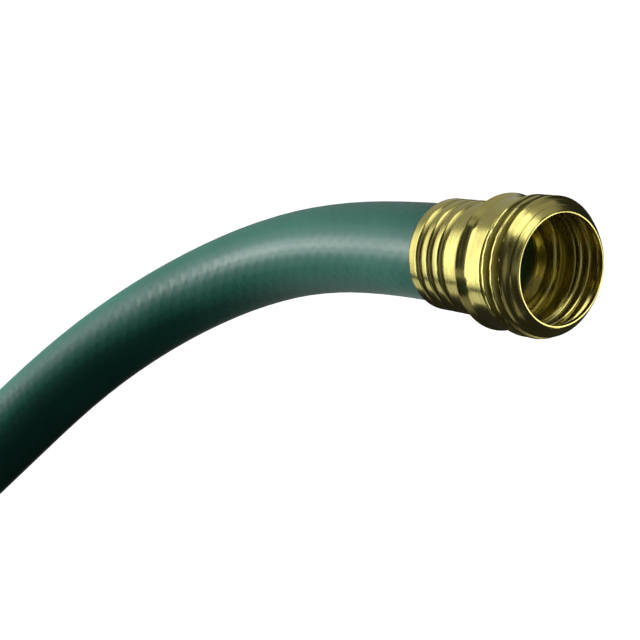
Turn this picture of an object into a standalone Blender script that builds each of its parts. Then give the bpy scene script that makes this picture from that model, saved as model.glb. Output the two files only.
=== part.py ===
"""A garden hose: 7.6 m of hose wound in a coil, with a stamped brass coupling on each end.

Units are metres and +Z is up. The origin is on the floor under the middle of the whole hose. The male end
lies on the floor and its mouth faces +X. The hose runs from it round the coil, from the bottom layer to the
top, and its other end lies on the coil with the female coupling and its swivel nut.
"""
import math

import bmesh
import bpy
from mathutils import Matrix, Vector

# Play between two pieces that touch on the real hose.
clearance = 0.0003

# Hose
hose_diameter = 0.0202
hose_bore = 0.016
gripped_diameter = 0.0190

# Male coupling: depths run back from the mouth, radii out from its axis.
male_mouth_place = Vector((0.0718, 0.20895))
shell_wall = 0.0008
mouth_radius = 0.0109
rim_width = 0.0004
lip_length = 0.0014
lip_radius = 0.0114
thread_root_radius = 0.01195
thread_height = 0.0014
thread_pitch = 0.0254 / 11.5
thread_turns = 3
thread_turned_by = 0.695
thread_run_in = 1.1
thread_run_out = 0.3
band_radius = 0.01267
band_rise = 0.0003
band_end = 0.0124
bulge_depth = 0.0143
bulge_radius = 0.0132
bulge_edge = 0.0005
male_ferrule_start = 0.0167
male_ferrule_length = 0.01435

# Ferrules: the sleeves that grip the hose.
ridge_count = 4
ridge_pitch = 0.00326
groove_width = 0.00095
groove_depth = 0.0007

# Inserts: the tubes inside the hose, each with a flange.
insert_wall = 0.0007
flange_radius = 0.0116
flange_thickness = 0.0007
male_flange_depth = 0.0140
hose_start_gap = 0.0024
flare_depth = 0.0003

# Female coupling
nut_radius = 0.0158
nut_length = 0.0140
nut_rear_wall = 0.0012
nut_lobes = 12
steps_per_lobe = 3
nut_lobe_depth = 0.0006
nut_mouth_radius = 0.0141
nut_thread_start = 0.0010
nut_thread_turns = 3
nut_thread_height = 0.00105
nut_thread_run_in = 0.4
washer_radius = 0.0123
washer_bore = 0.0075
washer_thickness = 0.0030
female_ferrule_length = 0.0161

# Coil: each layer is a flat spiral, and the layers lie on each other.
coil_centre = Vector((0.0, -0.0749))
coil_radius = 0.1373
turns_per_layer = 2.5
layers = 4
crest_share = 0.45
crease_depth = 0.0035

# Free stretch of hose on the floor, from the male ferrule towards the coil: its middle line, in metres.
lead_route = [
    (0.0160, 0.2084, 0.0129),
    (0.0000, 0.2068, 0.0123),
    (-0.0153, 0.2037, 0.0114),
    (-0.0294, 0.1984, 0.0107),
    (-0.0427, 0.1906, 0.0103),
    (-0.0547, 0.1808, 0.0101),
    (-0.0650, 0.1686, 0.0101),
    (-0.0729, 0.1551, 0.0101),
    (-0.0782, 0.1396, 0.0101),
    (-0.0812, 0.1297, 0.0101),
]

# Free end on top of the coil: it climbs out of the top layer, then lies over the middle of the turns.
tail_inset = 0.026
female_heading = 0.0
tail_climb_angle = math.radians(55)
tail_lift_angle = math.radians(28)
tail_straight = 0.020

round_steps = 24
rows_per_pitch = 5
coil_steps = 36
tube_sides_level = 4

hose_radius = hose_diameter / 2
stem_radius = hose_bore / 2 - clearance - 0.00005
coil_height = layers * hose_diameter
tail_radius = coil_radius - tail_inset
ferrule_radius = gripped_diameter / 2 + clearance + shell_wall + groove_depth
thread_start = lip_length
thread_radius = thread_root_radius + thread_height
male_ferrule_end = male_ferrule_start + male_ferrule_length
nut_flange_depth = nut_length - nut_rear_wall - clearance - flange_thickness
female_ferrule_start = nut_length + 0.0005
female_ferrule_end = female_ferrule_start + female_ferrule_length
female_hose_depth = female_ferrule_start + shell_wall + clearance
male_hose_depth = male_flange_depth + flange_thickness + hose_start_gap


def clear_scene():
    for thing in list(bpy.data.objects):
        bpy.data.objects.remove(thing, do_unlink=True)


def new_collection(name):
    collection = bpy.data.collections.new(name)
    bpy.context.scene.collection.children.link(collection)
    return collection


def new_material(name, colour, metallic, roughness):
    material = bpy.data.materials.new(name)
    material.use_nodes = True
    shader = material.node_tree.nodes["Principled BSDF"]
    shader.inputs["Base Color"].default_value = (*colour, 1.0)
    shader.inputs["Metallic"].default_value = metallic
    shader.inputs["Roughness"].default_value = roughness
    return material


def new_object(name, data, collection, material=None, parent=None):
    thing = bpy.data.objects.new(name, data)
    collection.objects.link(thing)
    if material:
        data.materials.append(material)
    thing.parent = parent
    return thing


def axis_empty(name, place, outward, collection):
    """An empty at a coupling's mouth, whose Z axis points out of the mouth along the coupling's axis."""
    empty = new_object(name, None, collection)
    turn = outward.to_track_quat("Z", "Y").to_matrix().to_4x4()
    empty.matrix_world = Matrix.Translation(place) @ turn
    return empty


def evaluated_mesh(thing):
    bpy.context.view_layer.update()
    graph = bpy.context.evaluated_depsgraph_get()
    return bpy.data.meshes.new_from_object(thing.evaluated_get(graph))


def shade(mesh, angle=math.radians(35)):
    mesh.shade_smooth()
    mesh.set_sharp_from_angle(angle=angle)


def turned(name, profile, steps, collection, material, parent=None, relief=None):
    """Turn a closed loop of (depth, radius) points about the axis of its parent.

    The loop runs back along its outer side and forward along its inner side. A relief moves each point
    out or in by an amount that depends on its depth, angle and side.
    """
    mesh = bpy.data.meshes.new(name)
    points = [(radius, 0.0, -depth) for depth, radius in profile]
    count = len(points)
    mesh.from_pydata(points, [(i, (i + 1) % count) for i in range(count)], [])
    piece = new_object(name, mesh, collection, material, parent)
    screw = piece.modifiers.new("Turn", "SCREW")
    screw.axis = "Z"
    screw.angle = 2 * math.pi
    screw.steps = steps
    screw.render_steps = steps
    screw.use_merge_vertices = True
    screw.merge_threshold = 0.00001
    if relief:
        solid = evaluated_mesh(piece)
        piece.modifiers.clear()
        for vertex in solid.vertices:
            x, y, z = vertex.co
            radius = math.hypot(x, y)
            shift = relief(-z, math.atan2(y, x), radius)
            vertex.co.x = x * (radius + shift) / radius
            vertex.co.y = y * (radius + shift) / radius
        piece.data = solid
    shade(piece.data)
    return piece


def inner_side(outer, wall):
    """The same line set in by a wall's thickness, run from the back to the front."""
    inner = []
    for i, (depth, radius) in enumerate(outer):
        before = Vector(outer[max(i - 1, 0)])
        after = Vector(outer[min(i + 1, len(outer) - 1)])
        run = (after - before).normalized()
        inner.append((depth + run.y * wall, radius - run.x * wall))
    return inner[::-1]


def ferrule_line(start, end, front_radius):
    """Outer line of a gripped sleeve: a plain band, then ridges with grooves between them."""
    line = [(start, front_radius)]
    for ridge in range(ridge_count - 1, 0, -1):
        groove_back = end - ridge * ridge_pitch + groove_width / 2
        groove_front = groove_back - groove_width
        slope = groove_width / 4
        line.append((groove_front - slope, ferrule_radius))
        line.append((groove_front + slope, ferrule_radius - groove_depth))
        line.append((groove_back - slope, ferrule_radius - groove_depth))
        line.append((groove_back + slope, ferrule_radius))
    line.append((end, ferrule_radius))
    return line


def thread_wave(depth, angle, start, turns, run_in):
    """Height of a right-hand thread from 0 to 1; it grows over its run-in and ends over its run-out."""
    turn = (depth - start) / thread_pitch
    fade = max(0.0, min(1.0, turn / run_in, (turns - turn) / thread_run_out))
    return fade * (0.5 - 0.5 * math.cos(2 * math.pi * (turn + thread_turned_by) + angle))


def thread_rows(start, turns):
    rows = round(turns * rows_per_pitch)
    return [start + thread_pitch * k / rows_per_pitch for k in range(1, rows)]


def make_male_end(collection, brass, parent):
    thread_end = thread_start + thread_turns * thread_pitch

    def thread(depth, angle, radius):
        return thread_height * thread_wave(depth, angle, thread_start, thread_turns, thread_run_in)

    line = [(0.0, mouth_radius), (lip_length * 0.35, mouth_radius + 0.0003), (thread_start, lip_radius)]
    line += [(depth, thread_root_radius) for depth in thread_rows(thread_start, thread_turns)]
    line.append((thread_end, thread_root_radius))
    line.append((thread_end + band_rise, band_radius))
    for share in (0.0, 0.35, 0.7, 1.0):
        depth = band_end + (bulge_depth - band_end) * share
        line.append((depth, band_radius + ease(share) * (bulge_radius - band_radius)))
    line.append((bulge_depth + bulge_edge, bulge_radius - bulge_edge / 3))
    line += ferrule_line(male_ferrule_start, male_ferrule_end, ferrule_radius)
    inside = inner_side(line, shell_wall)
    inside[-1] = (0.0, mouth_radius - rim_width)
    turned("male_shell", line + inside, round_steps, collection, brass, parent, thread)

    turned("male_insert", insert_profile(male_flange_depth, male_ferrule_end), round_steps, collection,
           brass, parent)


def insert_profile(flange_depth, ferrule_end):
    """A tube in the hose's bore, flared into a flange in front."""
    bore = stem_radius - insert_wall
    flange_back = flange_depth + flange_thickness
    end = ferrule_end - insert_wall
    return [
        (flange_depth - flare_depth, stem_radius + 0.0001),
        (flange_depth, stem_radius + 2 * flare_depth),
        (flange_depth, flange_radius),
        (flange_back, flange_radius),
        (flange_back, stem_radius),
        (end, stem_radius),
        (end, bore),
        (flange_back, bore),
        (flange_depth - flare_depth, stem_radius - flare_depth),
    ]


def make_female_end(collection, brass, rubber, parent):
    thread_end = nut_thread_start + (nut_thread_turns + 0.4) * thread_pitch
    root_radius = thread_radius + clearance
    relief_radius = washer_radius + clearance + 0.0001
    rear = nut_length - nut_rear_wall
    hole = stem_radius + clearance + 0.0002

    def lobes_and_thread(depth, angle, radius):
        if radius > nut_mouth_radius + 0.0005:
            return -nut_lobe_depth * (0.5 - 0.5 * math.cos(nut_lobes * angle))
        wave = thread_wave(depth, angle, nut_thread_start, nut_thread_turns + 0.4, nut_thread_run_in)
        return -nut_thread_height * wave if radius > relief_radius + 0.0001 else 0.0

    line = [(0.0, nut_radius - 0.0007), (0.0008, nut_radius), (rear - 0.0004, nut_radius)]
    line += [(nut_length, nut_radius - 0.0011), (nut_length, hole), (rear, hole), (rear, relief_radius)]
    line += [(thread_end + 0.0002, relief_radius), (thread_end, root_radius)]
    line += [(depth, root_radius) for depth in thread_rows(nut_thread_start, nut_thread_turns + 0.4)[::-1]]
    line += [(nut_thread_start, root_radius), (0.0, nut_mouth_radius)]
    turned("swivel_nut", line, nut_lobes * steps_per_lobe, collection, brass, parent, lobes_and_thread)

    back = nut_flange_depth - clearance
    front = back - washer_thickness
    bore = washer_bore
    washer = [(front, washer_radius), (back, washer_radius), (back, bore), (front, bore)]
    turned("rubber_washer", washer, round_steps, collection, rubber, parent)

    insert = insert_profile(nut_flange_depth, female_ferrule_end)[1:-1]
    turned("female_insert", insert, round_steps, collection, brass, parent)

    line = ferrule_line(female_ferrule_start, female_ferrule_end, ferrule_radius)
    inside = inner_side(line, shell_wall)
    inside[-1] = (female_ferrule_start + shell_wall, ferrule_radius - shell_wall)
    inside.append((female_ferrule_start + shell_wall, stem_radius + clearance))
    inside.append((female_ferrule_start, stem_radius + clearance))
    turned("female_ferrule", line + inside, round_steps, collection, brass, parent)


def make_coil(collection, material):
    """One turned ring; the hose's turns show as rounded ribs on its ends and sides."""
    across = math.ceil(turns_per_layer)
    outer = coil_radius + hose_radius
    inner = coil_radius - turns_per_layer * hose_diameter - hose_radius
    top_outer = Vector((outer, coil_height))
    low_outer = Vector((outer, 0.0))
    low_inner = Vector((inner, 0.0))
    top_inner = Vector((inner, coil_height))
    line = ripple(top_outer, low_outer, layers, Vector((-1, 0)))
    line += ripple(low_outer, low_inner, across, Vector((0, 1)))
    line += ripple(low_inner, top_inner, layers, Vector((1, 0)))
    line += ripple(top_inner, top_outer, across, Vector((0, -1)))
    profile = [(-height, radius) for radius, height in line]
    coil = turned("hose_coil", profile, coil_steps, collection, material)
    coil.location = (coil_centre.x, coil_centre.y, 0.0)


def ripple(start, end, count, inward):
    points = []
    for turn in range(count):
        for share in (0.5 - crest_share / 2, 0.5 + crest_share / 2):
            points.append(start.lerp(end, (turn + share) / count))
        if turn < count - 1:
            points.append(start.lerp(end, (turn + 1) / count) + inward * crease_depth)
    return points


def smooth_route(points, spacing):
    """Points a set distance apart, at most, on a smooth curve through the route's own points."""
    line = []
    for i in range(len(points) - 1):
        before, here = points[max(i - 1, 0)], points[i]
        there, after = points[i + 1], points[min(i + 2, len(points) - 1)]
        pieces = max(1, round((there - here).length / spacing))
        for step in range(pieces):
            u = step / pieces
            line.append(0.5 * (2 * here + (there - before) * u
                               + (2 * before - 5 * here + 4 * there - after) * u ** 2
                               + (3 * here - before - 3 * there + after) * u ** 3))
    line.append(points[-1])
    return line


def tube(name, line, gripped, collection, material):
    """A round tube along a line. The points named as gripped are squeezed to the ferrule's inside."""
    curve = bpy.data.curves.new(name, "CURVE")
    curve.dimensions = "3D"
    curve.bevel_depth = hose_radius
    curve.bevel_resolution = tube_sides_level
    curve.use_fill_caps = True
    spline = curve.splines.new("POLY")
    spline.points.add(len(line) - 1)
    for i, (point, place) in enumerate(zip(spline.points, line)):
        point.co = (*place, 1.0)
        point.radius = gripped_diameter / hose_diameter if i in gripped else 1.0
    return new_object(name, curve, collection, material)


def bored_tube(name, line, gripped, bore_axis, bore_depth, collection, cutters, material):
    """A tube whose gripped end is bored out for the coupling's insert."""
    guide = tube(name + "_line", line, gripped, collection, material)
    mesh = evaluated_mesh(guide)
    place = guide.matrix_world.copy()
    bpy.data.objects.remove(guide, do_unlink=True)
    bm = bmesh.new()
    bm.from_mesh(mesh)
    bmesh.ops.remove_doubles(bm, verts=bm.verts, dist=0.00001)
    bm.to_mesh(mesh)
    bm.free()
    hose = new_object(name, mesh, collection)
    hose.matrix_world = place

    drill = bpy.data.meshes.new(name + "_bore")
    bm = bmesh.new()
    bmesh.ops.create_cone(bm, cap_ends=True, segments=round_steps, radius1=hose_bore / 2,
                          radius2=hose_bore / 2, depth=2 * bore_depth)
    bm.to_mesh(drill)
    bm.free()
    cutter = new_object(name + "_bore", drill, cutters)
    cutter.matrix_world = bore_axis
    cutter.hide_render = True
    cutter.display_type = "WIRE"
    cut = hose.modifiers.new("Bore", "BOOLEAN")
    cut.operation = "DIFFERENCE"
    cut.solver = "EXACT"
    cut.object = cutter
    shade(hose.data, math.radians(50))
    return hose


def straight_end(end, along, free_length):
    """Line points of a hose end inside its ferrule, from the cut end to where the hose is free."""
    return [end, end + along * (free_length - clearance), end + along * (free_length + clearance)]


def lead_line():
    axis = Vector((male_mouth_place.x, male_mouth_place.y, thread_radius))
    back = Vector((-1.0, 0.0, 0.0))
    end = axis + back * male_hose_depth
    ends = straight_end(end, back, male_ferrule_end - male_hose_depth)
    route = [ends[-1], ends[-1] + back * hose_diameter * 0.3] + [Vector(point) for point in lead_route]
    route.append(ring_meeting())
    return ends[:-1] + smooth_route(route, hose_diameter)


def ring_meeting():
    """Where the straight run that touches the outermost turn comes up against the coil's side."""
    touch = coil_centre + coil_radius * unit(coil_start_angle())
    back = (Vector(lead_route[-1]).to_2d() - touch).normalized()
    side = coil_radius + hose_radius + clearance
    short = math.sqrt(side ** 2 - (coil_radius - hose_radius) ** 2)
    meeting = touch + back * short
    return Vector((meeting.x, meeting.y, hose_radius))


def coil_start_angle():
    offset = Vector(lead_route[-1]).to_2d() - coil_centre
    return math.atan2(offset.y, offset.x) + math.acos(coil_radius / offset.length)


def ease(share):
    share = max(0.0, min(1.0, share))
    return share * share * (3 - 2 * share)


def tail_sweep():
    """Angle from the end of the top layer to where the hose runs straight into the female ferrule."""
    return (female_heading - math.pi / 2 - coil_start_angle()) % (2 * math.pi)


def tail_point(angle):
    """A point of the free end on the coil, at an angle past the end of the top layer."""
    top = coil_height + hose_radius + clearance
    nut_axis = coil_height + nut_radius + clearance
    lift = ease((angle - (tail_sweep() - tail_lift_angle)) / tail_lift_angle)
    height = top + lift * (nut_axis - top)
    place = coil_centre + tail_radius * unit(coil_start_angle() + angle)
    return Vector((place.x, place.y, height))


def unit(angle):
    return Vector((math.cos(angle), math.sin(angle)))


def tail_line():
    count = math.ceil(tail_radius * (tail_sweep() - tail_climb_angle) / hose_diameter)
    step = (tail_sweep() - tail_climb_angle) / count
    arc = [tail_point(tail_climb_angle + i * step) for i in range(count + 1)]
    along = tail_heading()
    free = tail_straight - (female_ferrule_end - female_hose_depth)
    ferrule = arc[-1] + along * free
    cut_end = arc[-1] + along * tail_straight
    return arc + [ferrule - along * clearance, ferrule + along * clearance, cut_end]


def tail_heading():
    return Vector((math.cos(female_heading), math.sin(female_heading), 0.0))


def main():
    clear_scene()
    collection = new_collection("garden_hose")
    cutters = new_collection("cutters")
    brass = new_material("brass", (0.76, 0.60, 0.25), 1.0, 0.25)
    green = new_material("green_hose", (0.02, 0.11, 0.085), 0.0, 0.35)
    rubber = new_material("washer_rubber", (0.02, 0.02, 0.02), 0.0, 0.7)

    male_mouth = Vector((male_mouth_place.x, male_mouth_place.y, thread_radius))
    male_axis = axis_empty("male_axis", male_mouth, Vector((1.0, 0.0, 0.0)), collection)
    make_male_end(collection, brass, male_axis)
    bore_depth = male_ferrule_end - male_hose_depth
    cut_end = male_mouth - Vector((male_hose_depth, 0.0, 0.0))
    male_end = Matrix.Translation(cut_end) @ Matrix.Rotation(math.pi / 2, 4, "Y")
    bored_tube("hose_lead", lead_line(), (0, 1), male_end, bore_depth, collection, cutters, green)

    make_coil(collection, green)

    line = tail_line()
    heading = tail_heading()
    female_mouth = line[-1] + heading * female_hose_depth
    female_axis = axis_empty("female_axis", female_mouth, heading, collection)
    make_female_end(collection, brass, rubber, female_axis)
    bore_depth = female_ferrule_end - female_hose_depth
    female_end = Matrix.Translation(line[-1]) @ heading.to_track_quat("Z", "Y").to_matrix().to_4x4()
    gripped = (len(line) - 2, len(line) - 1)
    bored_tube("hose_tail", line, gripped, female_end, bore_depth, collection, cutters, green)


main()
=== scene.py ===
"""Looks of a garden hose with stamped brass couplings, wound in a coil on a white studio floor."""
import math

import bmesh
import bpy
from mathutils import Matrix, Vector


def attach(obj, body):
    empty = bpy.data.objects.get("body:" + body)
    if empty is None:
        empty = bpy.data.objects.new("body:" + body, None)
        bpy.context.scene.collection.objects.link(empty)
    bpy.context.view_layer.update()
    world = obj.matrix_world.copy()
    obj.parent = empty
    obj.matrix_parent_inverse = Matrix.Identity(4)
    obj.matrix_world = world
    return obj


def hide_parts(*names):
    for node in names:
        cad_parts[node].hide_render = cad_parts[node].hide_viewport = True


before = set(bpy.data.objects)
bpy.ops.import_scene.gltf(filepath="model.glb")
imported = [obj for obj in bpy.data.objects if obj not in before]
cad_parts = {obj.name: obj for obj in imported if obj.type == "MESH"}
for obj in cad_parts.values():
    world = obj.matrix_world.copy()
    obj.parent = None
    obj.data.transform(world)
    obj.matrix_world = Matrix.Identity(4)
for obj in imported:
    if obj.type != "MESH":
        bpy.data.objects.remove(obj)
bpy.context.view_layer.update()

# Hose, in metres
hose_diameter = 0.0202
hose_radius = hose_diameter / 2
hose_bore = 0.016
hose_length = 7.62
gripped_diameter = 0.0190
bore_depth = 0.035
hose_side_steps = 22
clearance = 0.0003

# Male coupling: its mouth, and depths behind the mouth
male_mouth = Vector((0.0718, 0.20895, 0.01335))
male_ferrule_start = 0.0167
male_ferrule_end = 0.03105
male_flange_depth = 0.0140
male_hose_depth = 0.0171
rim_radius = 0.0106
rim_inner_radius = 0.0104
first_crest_depth = 0.0020
first_crest_radius = 0.0126
male_thread_start = 0.0014
male_thread_turns = 3.0
male_thread_begin = 0.0017
male_thread_run_in = 0.5
first_crest_fall = 0.0012
band_radius = 0.01267
bulge_depth = 0.0145
bulge_radius = 0.0133
male_flare = 0.0012

# Female coupling
female_mouth = Vector((0.0356, -0.1862, 0.0969))
female_hose_depth = 0.0156
female_ferrule_start = 0.0145
female_ferrule_end = 0.0306
female_flange_depth = 0.0118
nut_length = 0.0140
nut_radius = 0.0158
nut_thread_start = 0.0010
nut_thread_turns = 3.4
nut_thread_run_in = 0.4
nut_thread_radius = 0.01365
nut_thread_height = 0.00105
nut_relief_radius = 0.0127
nut_outside_radius = 0.0146
nut_flutes = 12
nut_flute_depth = 0.0006
nut_flute_front = 0.0010
nut_flute_back = 0.0130
nut_flute_run_out = 0.0015
washer_front = 0.0085
washer_back = 0.0115
washer_radius = 0.0123
washer_hole_radius = 0.0075

# Shared sizes of the turned pieces
shell_wall = 0.0008
ferrule_radius = 0.0113
ridge_count = 4
ridge_pitch = 0.00326
groove_width = 0.00095
groove_depth = 0.0007
thread_pitch = 0.0254 / 11.5
thread_root_radius = 0.01195
thread_height = 0.0014
thread_turned_by = 0.695
thread_run_out = 0.3
thread_crest_flat = 1.1
thread_rows = 80
insert_wall = 0.0007
stem_radius = 0.00765
flange_radius = 0.0116
flange_thickness = 0.0007
shell_segments = 144
tailpiece_segments = 96

# Coil and the free end on it
coil_centre = Vector((0.0, -0.0749))
coil_radius = 0.1373
turns_per_layer = 2.5
layers = 4
layer_climb_angle = 0.9
tail_radius = 0.1113
tail_climb_angle = 0.8
tail_lift_angle = math.radians(28)
tail_straight = 0.020
tail_moves_in = (0.45, 0.96)
coil_step_degrees = 1.5
tail_steps = 90
path_spacing = 0.006
path_smoothings = 3

# The free stretch on the floor, from the male ferrule towards the coil
lead_route = [
    (0.0160, 0.2084, 0.0129),
    (0.0000, 0.2068, 0.0123),
    (-0.0153, 0.2037, 0.0114),
    (-0.0294, 0.1984, 0.0107),
    (-0.0427, 0.1906, 0.0103),
    (-0.0547, 0.1808, 0.0101),
    (-0.0650, 0.1686, 0.0101),
    (-0.0729, 0.1551, 0.0101),
    (-0.0782, 0.1396, 0.0101),
    (-0.0812, 0.1297, 0.0101),
]

# The view: 69.75 mm lens, 30 degrees above the floor, tilted sideways
camera_place = Vector((0.2331, 0.1148, 0.1468))
camera_heading = math.radians(161.6)
camera_elevation = math.radians(30.22)
camera_tilt = math.radians(42.97)
camera_lens = 69.75


def unit(angle):
    return Vector((math.cos(angle), math.sin(angle)))


def ease(share):
    share = max(0.0, min(1.0, share))
    return share * share * (3 - 2 * share)


# Route of the hose


def smooth_route(points, spacing):
    """A smooth curve through all the points."""
    line = []
    for i in range(len(points) - 1):
        before, here = points[max(i - 1, 0)], points[i]
        there, after = points[i + 1], points[min(i + 2, len(points) - 1)]
        pieces = max(1, round((there - here).length / spacing))
        for step in range(pieces):
            u = step / pieces
            line.append(0.5 * (2 * here + (there - before) * u
                               + (2 * before - 5 * here + 4 * there - after) * u ** 2
                               + (3 * here - before - 3 * there + after) * u ** 3))
    line.append(points[-1])
    return line


def coil_start_angle():
    offset = Vector(lead_route[-1]).to_2d() - coil_centre
    return math.atan2(offset.y, offset.x) + math.acos(coil_radius / offset.length)


def lead_points():
    """From the hose's end inside the male coupling to where it meets the coil."""
    back = Vector((-1.0, 0.0, 0.0))
    end = male_mouth + back * male_hose_depth
    free = male_mouth + back * (male_ferrule_end + clearance)
    touch = coil_centre + coil_radius * unit(coil_start_angle())
    straight = free + back * hose_diameter * 0.3
    route = [free, straight] + [Vector(point) for point in lead_route]
    route.append(Vector((touch.x, touch.y, hose_radius)))
    return [end] + smooth_route(route, 0.002)


def coil_points():
    """Flat spirals, one on the other: in on the first layer, out on the second, and so on."""
    start = coil_start_angle()
    layer_angle = turns_per_layer * 2 * math.pi
    points = []
    steps = round(layers * turns_per_layer * 360 / coil_step_degrees)
    for i in range(1, steps + 1):
        angle = i / steps * layers * layer_angle
        layer, run = divmod(angle, layer_angle)
        inward = run if int(layer) % 2 == 0 else layer_angle - run
        radius = coil_radius - inward / (2 * math.pi) * hose_diameter
        climbs = sum(ease((angle - k * layer_angle) / (2 * layer_climb_angle) + 0.5)
                     for k in range(1, layers))
        place = coil_centre + radius * unit(start + angle)
        points.append(Vector((place.x, place.y, hose_radius + hose_diameter * climbs)))
    return points


def tail_points():
    """The last turn: up from the outside of the coil, in over it and out to the female coupling."""
    start = coil_start_angle()
    sweep = (1.5 * math.pi - start) % (2 * math.pi)
    low = (layers - 0.5) * hose_diameter
    top = layers * hose_diameter + hose_radius + clearance
    begin, end = tail_moves_in
    points = []
    for i in range(1, tail_steps + 1):
        angle = sweep * i / tail_steps
        radius = coil_radius + (tail_radius - coil_radius) * ease((angle - begin) / (end - begin))
        height = low + (top - low) * ease(angle / tail_climb_angle)
        height += (female_mouth.z - top) * ease((angle - sweep + tail_lift_angle) / tail_lift_angle)
        place = coil_centre + radius * unit(start + angle)
        points.append(Vector((place.x, place.y, height)))
    points.append(points[-1] + Vector((tail_straight, 0.0, 0.0)))
    return points


def evenly(points, spacing):
    """The same line with its points an equal distance apart."""
    total = sum((b - a).length for a, b in zip(points, points[1:]))
    count = round(total / spacing)
    step = total / count
    line = [points[0]]
    travelled = 0.0
    for a, b in zip(points, points[1:]):
        length = (b - a).length
        while length > 0 and len(line) < count and travelled + length >= step * len(line):
            line.append(a.lerp(b, (step * len(line) - travelled) / length))
        travelled += length
    line.append(points[-1])
    return line


def relaxed(points, passes):
    """The same line with its small kinks smoothed out."""
    for _ in range(passes):
        middle = [0.25 * a + 0.5 * b + 0.25 * c for a, b, c in zip(points, points[1:], points[2:])]
        points = [points[0]] + middle + [points[-1]]
    return points


# Shapes

# Grime: depth at which a hollow is full of it, and how far and in what steps its sides are looked for
hollow_depth = 0.0007
hollow_reach = 5
hollow_step = 0.0002


def finished(name, bm, material, angle=math.radians(30)):
    """A bmesh made an object at the origin."""
    mesh = bpy.data.meshes.new(name)
    bm.to_mesh(mesh)
    bm.free()
    mesh.materials.append(material)
    mesh.shade_smooth()
    mesh.set_sharp_from_angle(angle=angle)
    piece = bpy.data.objects.new(name, mesh)
    bpy.context.scene.collection.objects.link(piece)
    return piece


def rounded(corners, steps=5):
    """An outline through (depth, radius, rounding) corners, each rounded over that distance."""
    line = []
    for i, (depth, radius, rounding) in enumerate(corners):
        here = Vector((depth, radius))
        if rounding == 0 or i in (0, len(corners) - 1):
            line.append(here)
            continue
        before = Vector(corners[i - 1][:2]) - here
        after = Vector(corners[i + 1][:2]) - here
        reach = min(rounding, before.length * 0.49, after.length * 0.49)
        start = here + before.normalized() * reach
        end = here + after.normalized() * reach
        for step in range(steps + 1):
            u = step / steps
            line.append(start * (1 - u) ** 2 + here * 2 * u * (1 - u) + end * u ** 2)
    return line


def subdivided(line, spacing):
    """The same line with more points on its long straight runs."""
    result = []
    for a, b in zip(line, line[1:]):
        count = max(1, math.ceil((b - a).length / spacing))
        result += [a.lerp(b, k / count) for k in range(count)]
    return result + [line[-1]]


def set_in(outline, wall):
    """The outline moved in by a wall's thickness, from its back end to its front."""
    inner = []
    for i, point in enumerate(outline):
        before = outline[max(i - 1, 0)]
        after = outline[min(i + 1, len(outline) - 1)]
        run = (after - before).normalized()
        inner.append(Vector((point.x + run.y * wall, point.y - run.x * wall)))
    return inner[::-1]


def mark_hollows(bm):
    """Store, for grime, how deep each outside point lies between higher places on both its sides."""
    layer = bm.verts.layers.float.new("hollow")
    bm.normal_update()
    heights = {}
    for vertex in bm.verts:
        slot = round(vertex.co.x / hollow_step)
        heights[slot] = max(heights.get(slot, 0.0), math.hypot(vertex.co.y, vertex.co.z))
    for vertex in bm.verts:
        slot = round(vertex.co.x / hollow_step)
        radius = math.hypot(vertex.co.y, vertex.co.z)
        outward = vertex.normal.y * vertex.co.y + vertex.normal.z * vertex.co.z > 0
        before = max(heights.get(slot + k, 0.0) for k in range(hollow_reach + 1))
        behind = max(heights.get(slot - k, 0.0) for k in range(hollow_reach + 1))
        depth = (min(before, behind) - radius) / hollow_depth
        vertex[layer] = max(0.0, min(1.0, depth)) if outward else 0.0


def turned(name, loop, mouth, segments, material, relief=None):
    """Spin a closed loop of (depth, radius) points round the coupling's axis, which runs along X."""
    bm = bmesh.new()
    ring = [bm.verts.new((-point[0], 0.0, point[1])) for point in loop]
    edges = [bm.edges.new((a, b)) for a, b in zip(ring, ring[1:] + ring[:1])]
    bmesh.ops.spin(bm, geom=ring + edges, cent=(0, 0, 0), axis=(1, 0, 0), angle=2 * math.pi,
                   steps=segments, use_merge=True)
    bmesh.ops.remove_doubles(bm, verts=bm.verts, dist=0.000001)
    if relief:
        for vertex in bm.verts:
            radius = math.hypot(vertex.co.y, vertex.co.z)
            angle = math.atan2(vertex.co.z, vertex.co.y)
            grown = (radius + relief(-vertex.co.x, angle, radius)) / radius
            vertex.co.y *= grown
            vertex.co.z *= grown
    bmesh.ops.recalc_face_normals(bm, faces=bm.faces)
    mark_hollows(bm)
    bmesh.ops.translate(bm, verts=bm.verts, vec=mouth)
    return finished(name, bm, material)


def ferrule_corners(start, end):
    """Ridges with grooves between them; the ridge next to the mouth is the wide one."""
    corners = [(start, ferrule_radius - 0.00005, 0.0)]
    for ridge in range(ridge_count - 1, 0, -1):
        back = end - ridge * ridge_pitch + groove_width / 2
        front = back - groove_width
        slope = groove_width * 0.2
        corners.append((front - slope, ferrule_radius, 0.0004))
        corners.append((front + slope, ferrule_radius - groove_depth, 0.00025))
        corners.append((back - slope, ferrule_radius - groove_depth, 0.00025))
        corners.append((back + slope, ferrule_radius, 0.0004))
    corners.append((end - 0.0002, ferrule_radius, 0.0002))
    corners.append((end, ferrule_radius - 0.0002, 0.0))
    return corners


def thread_wave(depth, angle, start, turns, begin, run_in):
    """Height of a right-hand thread, 0 to 1, at a depth and an angle.

    Turns are counted from the start. The thread grows over its run-in, behind where it begins, and fades
    over the run-out before its last turn ends; both are in pitches.
    """
    turn = (depth - start) / thread_pitch
    fade = ease(min((depth - begin) / (run_in * thread_pitch), (turns - turn) / thread_run_out))
    swing = 0.5 - 0.5 * math.cos(2 * math.pi * (turn + thread_turned_by) + angle)
    return fade * min(1.0, swing * thread_crest_flat)


def rows(start, end, count):
    """Depths at even steps between two ends, without the ends."""
    return [start + (end - start) * k / count for k in range(1, count)]


# Materials


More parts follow.
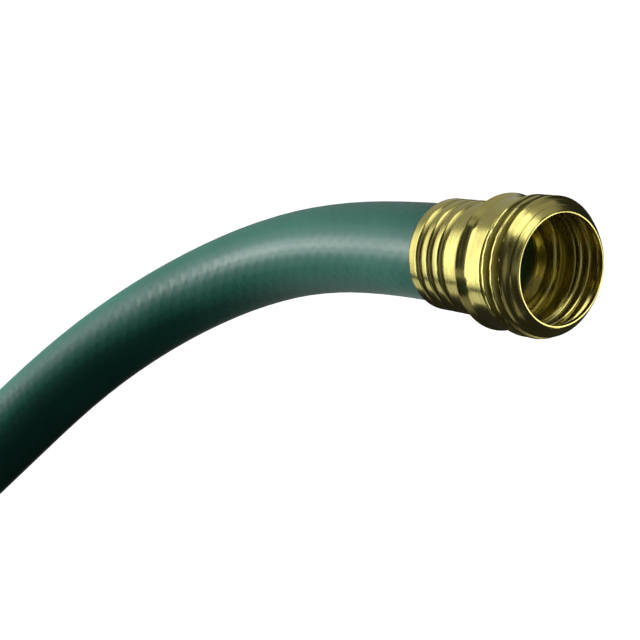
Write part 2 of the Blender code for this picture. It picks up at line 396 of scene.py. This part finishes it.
def feed(tree, socket, value):
    """Link a node's output to the socket, or set a plain value on it."""
    if isinstance(value, bpy.types.NodeSocket):
        tree.links.new(value, socket)
    else:
        socket.default_value = value


def add_node(tree, kind, settings=None, **inputs):
    node = tree.nodes.new(kind)
    for name, value in (settings or {}).items():
        setattr(node, name, value)
    for name, value in inputs.items():
        feed(tree, node.inputs[name.replace("_", " ")], value)
    return node


def maths(tree, operation, a, b=0.0, clamp=False):
    node = tree.nodes.new("ShaderNodeMath")
    node.operation = operation
    node.use_clamp = clamp
    feed(tree, node.inputs[0], a)
    feed(tree, node.inputs[1], b)
    return node.outputs[0]


def offset_product(tree, value, factor, offset):
    """The value times a factor, plus an offset."""
    product = maths(tree, "MULTIPLY_ADD", value, factor)
    product.node.inputs[2].default_value = offset
    return product


def new_group(name, ins, outs):
    group = bpy.data.node_groups.new(name, "ShaderNodeTree")
    for label, kind, value in ins:
        socket = group.interface.new_socket(label, in_out="INPUT", socket_type=kind)
        socket.default_value = value
    for label, kind in outs:
        group.interface.new_socket(label, in_out="OUTPUT", socket_type=kind)
    return group, group.nodes.new("NodeGroupInput"), group.nodes.new("NodeGroupOutput")


ring_wander = 60.0


def turning_marks_group():
    """Fine rings round a turned piece's axis, as a height and as a mask of worn lines."""
    group, given, result = new_group(
        "turning_marks",
        [("Rings per Metre", "NodeSocketFloat", 3000.0)],
        [("Height", "NodeSocketFloat"), ("Lines", "NodeSocketFloat")])
    place = add_node(group, "ShaderNodeTexCoord").outputs["Object"]
    parts = add_node(group, "ShaderNodeSeparateXYZ", Vector=place).outputs
    along = maths(group, "MULTIPLY", parts["X"], given.outputs["Rings per Metre"])
    level = maths(group, "MULTIPLY", parts["Y"], ring_wander)
    upright = maths(group, "MULTIPLY", parts["Z"], ring_wander)
    place = add_node(group, "ShaderNodeCombineXYZ", X=along, Y=level, Z=upright).outputs[0]
    fine = add_node(group, "ShaderNodeTexNoise", Vector=place, Scale=1.0, Detail=3.0, Roughness=0.65)
    ramp = add_node(group, "ShaderNodeMapRange", Value=fine.outputs[0], From_Min=0.38, From_Max=0.66)
    group.links.new(fine.outputs[0], result.inputs["Height"])
    group.links.new(ramp.outputs[0], result.inputs["Lines"])
    return group


def blotch_group():
    """Soft uneven patches, for tarnish and for dye."""
    group, given, result = new_group(
        "blotches", [("Scale", "NodeSocketFloat", 100.0), ("Low", "NodeSocketFloat", 0.4),
                     ("High", "NodeSocketFloat", 0.7)],
        [("Mask", "NodeSocketFloat")])
    place = add_node(group, "ShaderNodeTexCoord").outputs["Object"]
    noise = add_node(group, "ShaderNodeTexNoise", Vector=place, Scale=given.outputs["Scale"], Detail=4.0)
    ramp = add_node(group, "ShaderNodeMapRange", Value=noise.outputs[0], From_Min=given.outputs["Low"],
                    From_Max=given.outputs["High"])
    group.links.new(ramp.outputs[0], result.inputs["Mask"])
    return group


def place_group(tree, group, **inputs):
    node = tree.nodes.new("ShaderNodeGroup")
    node.node_tree = group
    for name, value in inputs.items():
        feed(tree, node.inputs[name.replace("_", " ")], value)
    return node


def mixed_colour(tree, factor, a, b):
    node = tree.nodes.new("ShaderNodeMix")
    node.data_type = "RGBA"
    tree.links.new(factor, node.inputs[0])
    for socket, value in ((node.inputs[6], a), (node.inputs[7], b)):
        if isinstance(value, bpy.types.NodeSocket):
            tree.links.new(value, socket)
        else:
            socket.default_value = (*value, 1.0)
    return node.outputs[2]


def new_material(name):
    material = bpy.data.materials.new(name)
    material.use_nodes = True
    return material, material.node_tree, material.node_tree.nodes["Principled BSDF"]


brass_bright = (0.72, 0.65, 0.20)
brass_dull = (0.58, 0.50, 0.16)
brass_scratch = (0.42, 0.36, 0.12)
brass_grime = (0.10, 0.085, 0.03)
brass_roughness = 0.12
scratch_share = 0.35
scratch_roughness = 0.14
tarnish_roughness = 0.08
grime_share = 0.6
grime_share_on_tarnish = 0.35
grime_roughness = 0.2


def brass_material(marks, blotches):
    """Turned brass: tarnished patches, fine rings left by the tool, and grime in the hollows."""
    material, tree, shader = new_material("stamped_brass")
    lines = place_group(tree, marks, Rings_per_Metre=2600.0)
    patches = place_group(tree, blotches, Scale=140.0, Low=0.42, High=0.72)
    colour = mixed_colour(tree, patches.outputs["Mask"], brass_bright, brass_dull)
    scratches = maths(tree, "MULTIPLY", lines.outputs["Lines"], scratch_share)
    colour = mixed_colour(tree, scratches, colour, brass_scratch)
    hollow = add_node(tree, "ShaderNodeAttribute", {"attribute_name": "hollow"}).outputs["Fac"]
    uneven = offset_product(tree, patches.outputs["Mask"], grime_share_on_tarnish, grime_share)
    grime = maths(tree, "MULTIPLY", hollow, uneven, clamp=True)
    colour = mixed_colour(tree, grime, colour, brass_grime)
    tree.links.new(colour, shader.inputs["Base Color"])
    shader.inputs["Metallic"].default_value = 1.0
    worn = offset_product(tree, lines.outputs["Lines"], scratch_roughness, brass_roughness)
    tarnished = maths(tree, "MULTIPLY", patches.outputs["Mask"], tarnish_roughness)
    dirty = maths(tree, "ADD", tarnished, maths(tree, "MULTIPLY", grime, grime_roughness))
    tree.links.new(maths(tree, "ADD", worn, dirty), shader.inputs["Roughness"])
    bump = add_node(tree, "ShaderNodeBump", Strength=0.4, Distance=0.00002, Height=lines.outputs["Height"])
    tree.links.new(bump.outputs[0], shader.inputs["Normal"])
    return material


vinyl_dark = (0.009, 0.086, 0.061)
vinyl_light = (0.014, 0.106, 0.076)
vinyl_roughness = 0.42
vinyl_patch_roughness = 0.08
vinyl_grain_height = 0.12
braid_strands = 14.0
braid_waves_per_diameter = 5.0
braid_tone = 0.12
braid_height = 0.5


def hose_material(blotches):
    """Smooth vinyl; the braid under it shows through as faint crossing diagonals."""
    material, tree, shader = new_material("green_vinyl")
    uv = add_node(tree, "ShaderNodeTexCoord").outputs["UV"]
    parts = add_node(tree, "ShaderNodeSeparateXYZ", Vector=uv).outputs
    along = maths(tree, "MULTIPLY", parts["X"], hose_length / hose_diameter)
    braids = []
    for side in (-1.0, 1.0):
        turn = maths(tree, "MULTIPLY", parts["Y"], side * braid_strands)
        run = maths(tree, "MULTIPLY", along, braid_waves_per_diameter)
        phase = maths(tree, "MULTIPLY", maths(tree, "ADD", turn, run), 2 * math.pi)
        braids.append(maths(tree, "SINE", phase))
    braid = maths(tree, "MAXIMUM", braids[0], braids[1])
    patches = place_group(tree, blotches, Scale=55.0, Low=0.3, High=0.75)
    fine = place_group(tree, blotches, Scale=900.0, Low=0.25, High=0.8)
    tone = maths(tree, "ADD", maths(tree, "MULTIPLY", braid, braid_tone), patches.outputs["Mask"])
    colour = mixed_colour(tree, tone, vinyl_dark, vinyl_light)
    tree.links.new(colour, shader.inputs["Base Color"])
    rough = offset_product(tree, patches.outputs["Mask"], vinyl_patch_roughness, vinyl_roughness)
    tree.links.new(rough, shader.inputs["Roughness"])
    grain = maths(tree, "MULTIPLY", fine.outputs["Mask"], vinyl_grain_height)
    weave = maths(tree, "ADD", maths(tree, "MULTIPLY", braid, braid_height), grain)
    bump = add_node(tree, "ShaderNodeBump", Strength=0.35, Distance=0.0001, Height=weave)
    tree.links.new(bump.outputs[0], shader.inputs["Normal"])
    return material


rubber_dark = (0.012, 0.012, 0.012)
rubber_light = (0.03, 0.03, 0.028)


def rubber_material(blotches):
    material, tree, shader = new_material("black_rubber")
    patches = place_group(tree, blotches, Scale=400.0, Low=0.3, High=0.7)
    colour = mixed_colour(tree, patches.outputs["Mask"], rubber_dark, rubber_light)
    tree.links.new(colour, shader.inputs["Base Color"])
    shader.inputs["Roughness"].default_value = 0.6
    bump = add_node(tree, "ShaderNodeBump", Strength=0.3, Distance=0.00005, Height=patches.outputs["Mask"])
    tree.links.new(bump.outputs[0], shader.inputs["Normal"])
    return material


# Pieces


def make_hose(material):
    """The whole length in one tube, with its bore open at both cut ends."""
    line = lead_points() + coil_points() + tail_points()
    line = relaxed(evenly(line, path_spacing), path_smoothings)
    gripped_front = male_ferrule_end - male_hose_depth
    gripped_back = female_ferrule_end - female_hose_depth
    curve = bpy.data.curves.new("hose_line", "CURVE")
    curve.dimensions = "3D"
    curve.bevel_depth = hose_radius
    curve.bevel_resolution = hose_side_steps
    curve.use_fill_caps = True
    spline = curve.splines.new("POLY")
    spline.points.add(len(line) - 1)
    for point, place in zip(spline.points, line):
        point.co = (*place, 1.0)
        near_male = (place - line[0]).length < gripped_front
        near_female = (place - line[-1]).length < gripped_back
        point.radius = gripped_diameter / hose_diameter if near_male or near_female else 1.0
    guide = bpy.data.objects.new("hose_line", curve)
    bpy.context.scene.collection.objects.link(guide)
    graph = bpy.context.evaluated_depsgraph_get()
    mesh = bpy.data.meshes.new_from_object(guide.evaluated_get(graph))
    bpy.data.objects.remove(guide, do_unlink=True)
    bm = bmesh.new()
    bm.from_mesh(mesh)
    bmesh.ops.remove_doubles(bm, verts=bm.verts, dist=0.00001)
    bm.faces.ensure_lookup_table()
    wall = (gripped_diameter - hose_bore) / 2
    for end in (line[0], line[-1]):
        caps = [face for face in bm.faces
                if len(face.verts) > 8 and (face.calc_center_median() - end).length < 0.002]
        bmesh.ops.inset_region(bm, faces=caps, thickness=wall, use_boundary=True, use_even_offset=True)
        pushed = bmesh.ops.extrude_face_region(bm, geom=caps)
        bmesh.ops.delete(bm, geom=caps, context="FACES")
        verts = [item for item in pushed["geom"] if isinstance(item, bmesh.types.BMVert)]
        bmesh.ops.translate(bm, verts=verts, vec=(-bore_depth, 0, 0))
    mesh.clear_geometry()
    bm.to_mesh(mesh)
    bm.free()
    mesh.materials.clear()
    mesh.materials.append(material)
    mesh.shade_smooth()
    mesh.set_sharp_from_angle(angle=math.radians(40))
    hose = bpy.data.objects.new("hose", mesh)
    bpy.context.scene.collection.objects.link(hose)
    return hose, line


def make_male_shell(material):
    """Bullnosed lip, thread, plain band, bulge and ribbed ferrule, stamped from one sheet."""
    end = male_thread_start + male_thread_turns * thread_pitch

    def root(depth):
        fall = ease((depth - first_crest_depth) / first_crest_fall)
        return thread_root_radius + (first_crest_radius - thread_root_radius) * (1 - fall)

    def thread(depth, angle, radius):
        wave = thread_wave(depth, angle, male_thread_start, male_thread_turns, male_thread_begin,
                           male_thread_run_in)
        return (thread_root_radius + thread_height - root(depth)) * wave

    line = rounded([(0.0, rim_radius, 0), (0.00015, rim_radius + 0.00025, 0.0001), (0.00095, 0.0117, 0.0001),
                    (0.00115, 0.01175, 0.0001), (first_crest_depth, first_crest_radius, 0)])
    for depth in rows(first_crest_depth, end, thread_rows):
        line.append(Vector((depth, root(depth))))
    line += rounded([
        (end, thread_root_radius, 0), (end + 0.0002, band_radius - 0.00005, 0.0001),
        (end + 0.0004, band_radius, 0.0001), (0.0122, band_radius, 0.0006),
        (bulge_depth, bulge_radius, 0.00018), (0.0149, 0.0126, 0.0003), (0.0154, 0.0115, 0.0004),
        (male_ferrule_start, ferrule_radius, 0)], 8)
    line += rounded(ferrule_corners(male_ferrule_start, male_ferrule_end))[1:]
    line = subdivided(line, 0.0004)
    inside = set_in(line, shell_wall)
    inside[-1] = Vector((0.0, rim_inner_radius))
    return turned("male_coupling_shell", line + inside, male_mouth, shell_segments, material, thread)


def insert_loop(flange_depth, ferrule_end, flare):
    """Section of a tailpiece: a flange, a stem that runs back into the hose, and a flared front."""
    bore = stem_radius - insert_wall
    flange_back = flange_depth + flange_thickness
    end = ferrule_end - insert_wall
    corners = [
        (flange_depth - flare, stem_radius + 0.0001 + flare * 0.6, 0),
        (flange_depth - flare * 0.3, stem_radius + 0.0006 + flare * 0.6, 0.0003),
        (flange_depth, stem_radius + 0.0014 + flare * 0.6, 0.0004),
        (flange_depth, flange_radius - 0.0001, 0.0001),
        (flange_depth + 0.0002, flange_radius, 0.0001),
        (flange_back, flange_radius, 0.0001),
        (flange_back, stem_radius, 0.0004),
        (end, stem_radius, 0.0001),
        (end, bore, 0.0001),
        (flange_back + 0.002 + flare, bore, 0.0016),
        (flange_depth + flare * 0.4, stem_radius - 0.0003, 0.0008),
        (flange_depth - flare, stem_radius - 0.0001 + flare * 0.6, 0),
    ]
    return rounded(corners)


def make_female_end(brass, rubber):
    """Swivel nut with a fluted grip, washer, tailpiece and ribbed ferrule."""
    start = nut_thread_start
    end = start + nut_thread_turns * thread_pitch
    root = nut_thread_radius
    relief = nut_relief_radius
    rear = nut_length - 0.0012
    hole = stem_radius + 0.0005

    def flutes_and_thread(depth, angle, radius):
        if radius > nut_outside_radius:
            swing = 0.5 - 0.5 * math.cos(nut_flutes * angle)
            front = ease((depth - nut_flute_front) / nut_flute_run_out)
            back = ease((nut_flute_back - depth) / nut_flute_run_out)
            taper = front * back
            return -nut_flute_depth * ease(swing) * taper
        wave = thread_wave(depth, angle, start, nut_thread_turns, start, nut_thread_run_in)
        return -nut_thread_height * wave if radius > relief + 0.0001 and depth > 0.0005 else 0.0

    outer = rounded([(0.0, 0.0149, 0), (0.0002, nut_radius - 0.0002, 0.0002), (0.0008, nut_radius, 0.0004),
                     (0.0040, nut_radius, 0), (0.0080, nut_radius, 0), (0.0124, nut_radius, 0.0006),
                     (0.0136, nut_radius - 0.0010, 0.0006), (nut_length, nut_radius - 0.0024, 0.0004),
                     (nut_length, hole, 0)])
    outer = subdivided(outer, 0.0006)
    inner = rounded([(rear, hole, 0), (rear, relief, 0.0003), (end + 0.0004, relief, 0.0002), (end, root, 0)])
    inner += [Vector((depth, root)) for depth in rows(end, start, thread_rows)]
    inner += rounded([(start, root, 0), (0.0005, root + 0.0001, 0.0002), (0.0, 0.0141, 0)])
    nut = turned("brass_swivel_nut", outer + inner, female_mouth, shell_segments, brass,
                 flutes_and_thread)

    loop = rounded([(washer_front, 0.0099, 0), (washer_front, washer_radius, 0.0003),
                    (washer_back, washer_radius, 0.0003), (washer_back, washer_hole_radius, 0.0003),
                    (washer_front, washer_hole_radius, 0.0003), (washer_front, 0.0098, 0)])
    washer = turned("nut_washer", loop, female_mouth, tailpiece_segments, rubber)

    insert = turned("female_tailpiece", insert_loop(female_flange_depth, female_ferrule_end, 0.0),
                    female_mouth, tailpiece_segments, brass)

    line = rounded([(female_ferrule_start, ferrule_radius - 0.0006, 0),
                    (female_ferrule_start + 0.0004, ferrule_radius, 0.0004)]
                   + ferrule_corners(female_ferrule_start + 0.0010, female_ferrule_end))
    inside = set_in(line, shell_wall)[:-4]
    inside.append(Vector((female_ferrule_start + shell_wall, ferrule_radius - shell_wall)))
    inside.append(Vector((female_ferrule_start + shell_wall, stem_radius + clearance)))
    inside.append(Vector((female_ferrule_start, stem_radius + clearance)))
    ferrule = turned("female_hose_ferrule", line + inside, female_mouth, shell_segments, brass)
    return nut, washer, insert, ferrule


# Studio

coupling_middle = 0.015
background_light = 0.02
mirrored_back = 0.7025
mirrored_aside = 0.711


def make_floor():
    """A white floor that glows a little, and that the panels under it shine through."""
    bm = bmesh.new()
    bmesh.ops.create_grid(bm, x_segments=1, y_segments=1, size=4.0)
    material, _, shader = new_material("studio_floor")
    shader.inputs["Base Color"].default_value = (0.9, 0.9, 0.9, 1.0)
    shader.inputs["Roughness"].default_value = 0.9
    shader.inputs["Specular IOR Level"].default_value = 0.1
    shader.inputs["Emission Color"].default_value = (1.0, 1.0, 1.0, 1.0)
    shader.inputs["Emission Strength"].default_value = 1.1
    floor = finished("floor", bm, material)
    floor.visible_glossy = False
    floor.visible_diffuse = False
    floor.visible_shadow = False


def panel(name, aim, long_axis, distance, width, length, brightness, lit, target=None, matt_only=False,
          gloss_only=False, blocked=None):
    """A flat light that faces its target from the aim's direction; its long side follows the long axis."""
    aim = Vector(aim).normalized()
    target = target or male_mouth - Vector((coupling_middle, 0.0, 0.0))
    side = Vector(long_axis).cross(aim).normalized()
    upright = aim.cross(side)
    data = bpy.data.lights.new(name, "AREA")
    data.shape = "RECTANGLE"
    data.size = width
    data.size_y = length
    data.energy = math.pi * width * length * brightness
    lamp = bpy.data.objects.new(name, data)
    turn = Matrix((side, upright, aim)).transposed().to_4x4()
    lamp.matrix_world = Matrix.Translation(target + aim * distance) @ turn
    lamp.light_linking.receiver_collection = lit
    lamp.light_linking.blocker_collection = blocked
    lamp.visible_glossy = not matt_only
    lamp.visible_diffuse = not gloss_only
    bpy.context.scene.collection.objects.link(lamp)


def group_of(name, pieces):
    collection = bpy.data.collections.new(name)
    for piece in pieces:
        collection.objects.link(piece)
    return collection


def across(angle):
    """Direction that a plain turned side of the male coupling mirrors to the camera, by its angle."""
    turn = math.radians(angle)
    return Vector((-mirrored_back, mirrored_aside * math.cos(turn), mirrored_aside * math.sin(turn)))


def along(angle):
    """The way that direction moves as the angle grows."""
    turn = math.radians(angle)
    return Vector((0.0, -math.sin(turn), math.cos(turn)))


def make_lights(brass_pieces, hose):
    """Panels for the brass first, then those for the hose."""
    brass = group_of("lit_brass", brass_pieces)
    vinyl = group_of("lit_hose", [hose])
    level = Vector((0.0, 1.0, 0.0))
    upright = Vector((0.0, 0.0, 1.0))
    strip = Vector((0.52, 0.12, 0.84))
    far_strip = Vector((0.25, 0.61, 0.75))

    # Name, direction, long axis, distance, width, length, brightness, what it lights
    panel("key_panel", across(124), along(124), 0.7, 0.30, 0.98, 2.0, brass)
    panel("low_panel", across(186), along(186), 0.7, 0.30, 0.40, 0.75, brass)
    panel("wall_panel", across(26), along(26), 1.0, 0.9, 1.4, 0.34, brass)
    panel("top_panel", (-0.17, 0.41, 0.90), level, 1.0, 0.35, 0.5, 1.0, brass)
    panel("upper_panel", (0.52, 0.42, 0.76), level, 1.0, 0.95, 0.6, 1.9, brass)
    panel("far_panel", (0.20, 0.85, 0.45), upright, 1.0, 1.0, 0.9, 0.32, brass)
    panel("near_panel", (0.0, -0.9, 0.0), upright, 0.8, 0.9, 1.1, 0.22, brass)
    panel("mouth_panel", (0.95, -0.20, 0.20), level, 1.0, 0.9, 0.9, 0.25, brass)
    panel("floor_panel", (0.55, 0.20, -0.80), level, 0.8, 0.6, 0.5, 3.0, brass)
    panel("rim_panel", (0.70, 0.50, -0.50), level, 0.8, 0.3, 0.3, 0.55, brass)
    tailpiece = group_of("lit_tailpiece", brass_pieces[1:2])
    panel("flare_panel", (-0.25, 0.10, 0.93), level, 1.0, 0.9, 1.0, 2.6, tailpiece, blocked=vinyl)
    panel("hose_strip", (-0.72, -0.415, 0.555), strip, 0.75, 0.10, 0.25, 36.0, vinyl)
    panel("hose_far_strip", (-0.64, -0.11, 0.75), far_strip, 0.78, 0.12, 0.18, 4.0, vinyl)
    panel("hose_wash", (-0.70, -0.10, 0.70), level, 0.395, 0.25, 0.25, 7.0, vinyl, matt_only=True)
    panel("hose_side", (-0.84, -0.5, 0.1), upright, 0.7, 0.6, 0.6, 4.0, vinyl, matt_only=True)
    panel("hose_front", (0.70, -0.50, 0.505), level, 0.9, 0.8, 0.8, 0.5, vinyl, matt_only=True)
    panel("hose_wall", (-1.0, 0.0, 0.1), upright, 1.0, 2.6, 2.6, 0.45, vinyl, gloss_only=True)
    near_ferrule = Vector((0.02, 0.195, 0.005))
    panel("hose_bounce", (0.0, 0.0, -1.0), level, 0.035, 0.08, 0.07, 0.4, vinyl, near_ferrule)

    # The air looks white to the camera and gives only a little light
    world = bpy.data.worlds.new("studio_air")
    world.use_nodes = True
    tree = world.node_tree
    background = tree.nodes["Background"]
    background.inputs["Color"].default_value = (1.0, 1.0, 1.0, 1.0)
    seen = add_node(tree, "ShaderNodeLightPath").outputs["Is Camera Ray"]
    tree.links.new(offset_product(tree, seen, 1.0, background_light), background.inputs["Strength"])
    bpy.context.scene.world = world


def make_camera():
    data = bpy.data.cameras.new("camera")
    data.lens = camera_lens
    data.sensor_width = 36.0
    data.clip_start = 0.01
    camera = bpy.data.objects.new("camera", data)
    turn = (Matrix.Rotation(camera_heading - math.pi / 2, 4, "Z")
            @ Matrix.Rotation(math.pi / 2 - camera_elevation, 4, "X")
            @ Matrix.Rotation(-camera_tilt, 4, "Z"))
    camera.matrix_world = Matrix.Translation(camera_place) @ turn
    bpy.context.scene.collection.objects.link(camera)
    bpy.context.scene.camera = camera
    bpy.context.scene.view_settings.view_transform = "Standard"


def main():
    make_camera()
    marks, blotches = turning_marks_group(), blotch_group()
    brass = brass_material(marks, blotches)
    hose, line = make_hose(hose_material(blotches))
    nut, washer, tailpiece, ferrule = make_female_end(brass, rubber_material(blotches))
    shell = make_male_shell(brass)
    insert = turned("male_tailpiece", insert_loop(male_flange_depth, male_ferrule_end, male_flare),
                    male_mouth, tailpiece_segments, brass)

    for piece in (hose, ferrule, tailpiece, shell, insert):
        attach(piece, "hose")
    for piece in (nut, washer):
        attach(piece, "swivel")
    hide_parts("hose_lead", "hose_coil", "hose_tail")
    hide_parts("male_shell")
    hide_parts("male_insert")
    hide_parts("female_ferrule")
    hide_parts("female_insert")
    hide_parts("swivel_nut")
    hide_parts("rubber_washer")
    make_floor()
    make_lights([shell, insert, nut, washer, tailpiece, ferrule], hose)


main()
